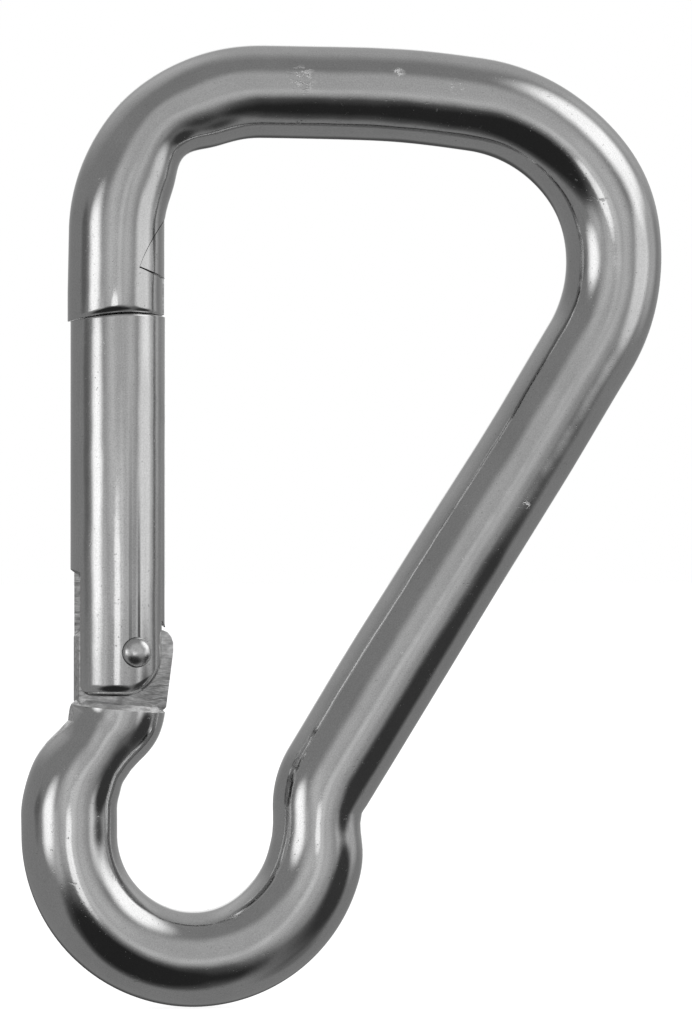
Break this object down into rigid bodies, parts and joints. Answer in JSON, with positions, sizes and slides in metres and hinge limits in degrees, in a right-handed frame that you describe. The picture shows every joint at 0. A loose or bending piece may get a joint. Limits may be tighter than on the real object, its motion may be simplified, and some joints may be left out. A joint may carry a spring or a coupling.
{
  "type": "carbine hook",
  "caption": "Asymmetric stainless carbine hook bent from round rod, with a small eye and a sprung tubular gate hinged on a rivet.",
  "frame": {"origin": "centre of the small eye, in the middle of the rod's thickness", "axes": "+Z from the small eye towards the bow, +X from the gate towards the leg, +Y through the eye; seen from -Y the gate is on the left"},
  "size_m": [0.0673, 0.011, 0.1],
  "materials": {
    "polished_steel": "polished stainless, fine pits and scratches",
    "spring_wire": "drawn spring wire",
    "turned_steel": "turned"
  },
  "bodies": {
    "hook": {"hook_body": "polished_steel"},
    "gate": {"gate_sleeve": "polished_steel", "latch_tongue": "polished_steel", "hinge_rivet": "polished_steel", "gate_spring": "spring_wire"},
    "plunger": {"spring_plunger": "turned_steel"}
  },
  "joints": [
    {"name": "gate_hinge", "type": "hinge", "parent": "hook", "child": "gate", "pos_m": [-0.00662, 0, 0.01885], "axis": [0, 1, 0], "range_deg": [0, 38], "stiffness_Nm_per_rad": 0.36, "springref_deg": -20.05},
    {"name": "plunger_slide", "type": "slide", "parent": "gate", "child": "plunger", "axis": [0, 0, 1], "range_m": [0, 0.0016], "deforming": ["gate_spring"]}
  ],
  "couplings": [
    {"joint": "plunger_slide", "follows": "gate_hinge", "m_per_rad": 0.0023}
  ]
}
